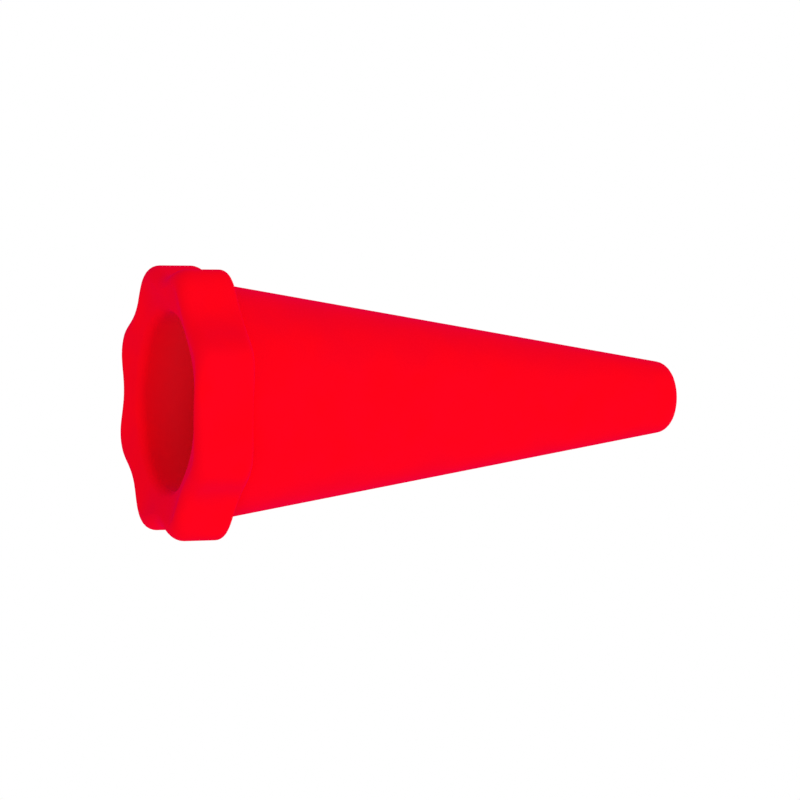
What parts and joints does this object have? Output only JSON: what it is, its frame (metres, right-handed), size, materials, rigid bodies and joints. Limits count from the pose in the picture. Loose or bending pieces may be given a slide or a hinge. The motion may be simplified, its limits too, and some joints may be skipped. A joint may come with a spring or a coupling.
{
  "type": "traffic cone",
  "caption": "Slip-on tapered signalling cone for a hand torch: closed rounded tip, thick lobed grip collar and a round dished mouth.",
  "frame": {"origin": "centre of the mouth, in the plane that the mouth's rim stands on", "axes": "+Z along the cone's axis from the mouth to the closed tip; +X and +Y each through the middle of a collar lobe"},
  "size_m": [0.0768, 0.0768, 0.152],
  "materials": {
    "shell_plastic": "satin, slightly translucent",
    "collar_rubber": "satin, soft"
  },
  "bodies": {
    "root": {"cone_shell": "shell_plastic", "grip_collar": "collar_rubber"}
  },
  "joints": []
}
